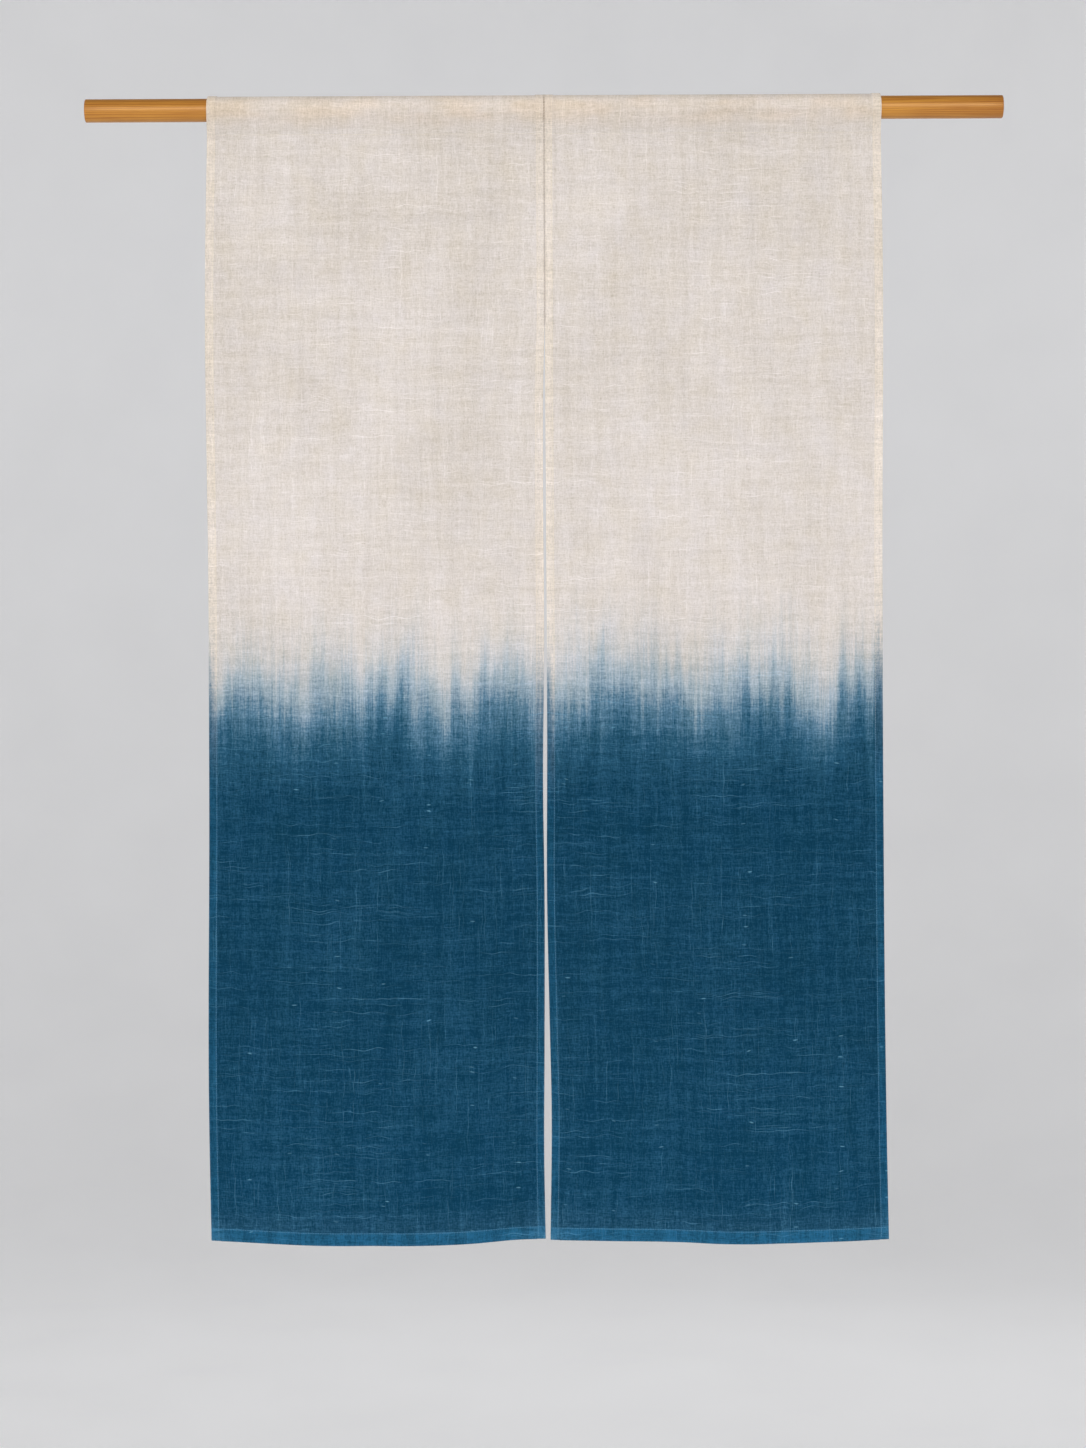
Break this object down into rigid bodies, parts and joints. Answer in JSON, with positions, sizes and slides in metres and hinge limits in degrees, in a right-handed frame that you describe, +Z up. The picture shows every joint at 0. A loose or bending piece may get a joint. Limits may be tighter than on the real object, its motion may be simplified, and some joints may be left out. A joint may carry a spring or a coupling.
{
  "type": "noren curtain with rod",
  "caption": "Doorway curtain of dip-dyed linen, slit up the middle and hung by its sewn top pocket from a plain round wooden rod.",
  "frame": {"origin": "centre of the rod's left end face", "axes": "+X along the rod to the right as seen from the front, +Y to the back of the cloth, +Z up"},
  "size_m": [1.2, 0.0342, 1.5065],
  "materials": {
    "linen": "matte slubbed weave, undyed above and dip-dyed indigo below",
    "wood": "smooth satin varnish"
  },
  "bodies": {
    "root": {"rod": "wood", "panel_left": "linen", "panel_right": "linen"}
  },
  "joints": []
}
